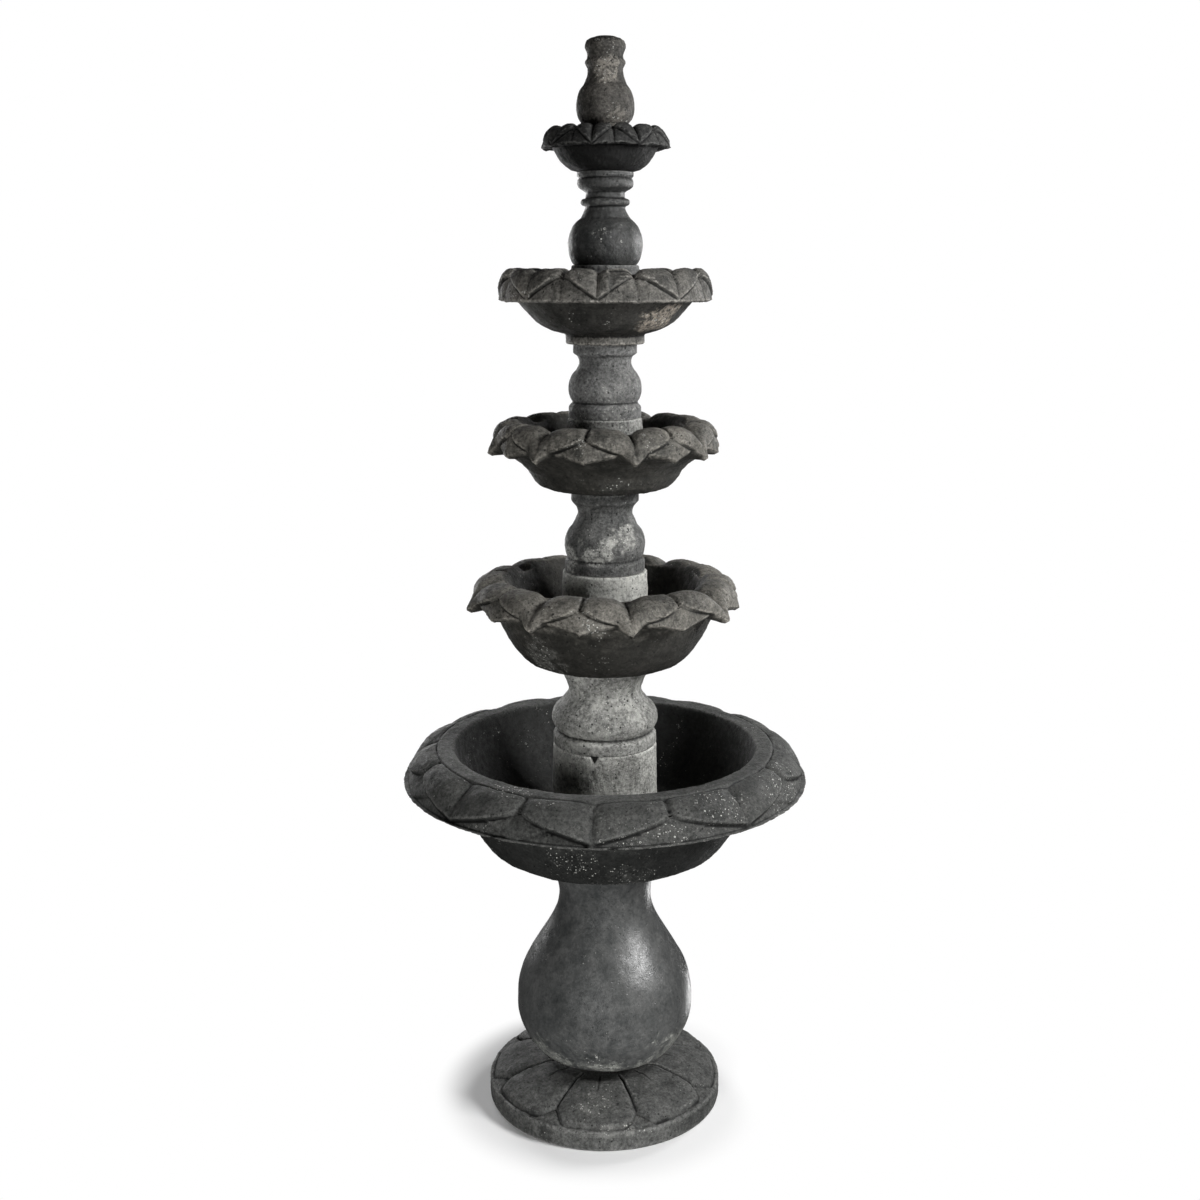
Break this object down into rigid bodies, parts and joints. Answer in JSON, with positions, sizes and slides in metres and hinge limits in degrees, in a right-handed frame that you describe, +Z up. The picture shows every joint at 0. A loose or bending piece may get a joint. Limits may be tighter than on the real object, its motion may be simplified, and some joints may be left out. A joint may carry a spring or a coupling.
{
  "type": "tiered water fountain",
  "caption": "Carved stone garden fountain: lotus base, pear pedestal, wide basin, stacked petal-edged bowls on turned columns, finial, and a pump with a water pipe.",
  "frame": {"origin": "centre of the underside of the base, on the ground", "axes": "+Z up along the stack, -Y towards the front"},
  "size_m": [0.8008, 0.8008, 2.09],
  "materials": {
    "dark_stone": "rough carved, charcoal",
    "smooth_stone": "smooth, soft sheen",
    "pale_stone": "pitted, lime stained",
    "steel": "satin",
    "brass": "dull",
    "rubber": "matt",
    "pipe_plastic": "matt",
    "pump_plastic": "matt",
    "impeller_plastic": "gloss"
  },
  "bodies": {
    "stand": {"lotus_base": "dark_stone", "base_dowel": "steel", "pedestal": "smooth_stone", "basin_dowel": "steel", "basin": "dark_stone", "basin_rim": "dark_stone", "drain_sleeve": "brass", "pump_body": "pump_plastic", "pump_strainer": "pump_plastic", "impeller_shaft": "steel", "pump_outlet": "pump_plastic", "pump_feet": "rubber", "cable_gland": "rubber", "pump_sleeve": "rubber", "hose_clamp": "steel"},
    "drain_plug": {"drain_plug": "rubber"},
    "impeller": {"impeller": "impeller_plastic"},
    "flow_dial": {"flow_dial": "pump_plastic"},
    "cover": {"pump_cover": "pale_stone"},
    "lower_tier": {"lower_column": "pale_stone", "lower_bowl": "dark_stone", "lower_riser": "pale_stone", "lower_pipe": "pipe_plastic", "lower_seal": "rubber", "lower_sleeve": "rubber"},
    "middle_tier": {"middle_column": "pale_stone", "middle_bowl": "dark_stone", "middle_riser": "pale_stone", "middle_pipe": "pipe_plastic", "middle_seal": "rubber", "middle_sleeve": "rubber"},
    "upper_tier": {"upper_column": "pale_stone", "upper_bowl": "dark_stone", "upper_riser": "pale_stone", "upper_pipe": "pipe_plastic", "upper_seal": "rubber", "upper_sleeve": "rubber"},
    "top_tier": {"top_column": "smooth_stone", "top_bowl": "dark_stone", "top_pipe": "pipe_plastic", "top_seal": "rubber", "top_sleeve": "rubber"},
    "finial": {"finial": "smooth_stone", "outlet_nozzle": "brass"}
  },
  "joints": [
    {"name": "drain_plug_pull", "type": "slide", "parent": "stand", "child": "drain_plug", "axis": [0, 0, 1], "range_m": [0, 0.04]},
    {"name": "impeller_spin", "type": "hinge", "parent": "stand", "child": "impeller", "pos_m": [0, 0, 0.626], "axis": [1, 0, 0], "continuous": true},
    {"name": "flow_dial_turn", "type": "hinge", "parent": "stand", "child": "flow_dial", "pos_m": [0.05, 0, 0.626], "axis": [1, 0, 0], "range_deg": [0, 90]},
    {"name": "cover_lift", "type": "slide", "parent": "stand", "child": "cover", "axis": [0, 0, 1], "range_m": [0, 0.06]},
    {"name": "lower_tier_lift", "type": "slide", "parent": "cover", "child": "lower_tier", "axis": [0, 0, 1], "range_m": [0, 0.06]},
    {"name": "middle_tier_lift", "type": "slide", "parent": "lower_tier", "child": "middle_tier", "axis": [0, 0, 1], "range_m": [0, 0.06]},
    {"name": "upper_tier_lift", "type": "slide", "parent": "middle_tier", "child": "upper_tier", "axis": [0, 0, 1], "range_m": [0, 0.06]},
    {"name": "top_tier_lift", "type": "slide", "parent": "upper_tier", "child": "top_tier", "axis": [0, 0, 1], "range_m": [0, 0.06]},
    {"name": "finial_lift", "type": "slide", "parent": "top_tier", "child": "finial", "axis": [0, 0, 1], "range_m": [0, 0.06]}
  ]
}
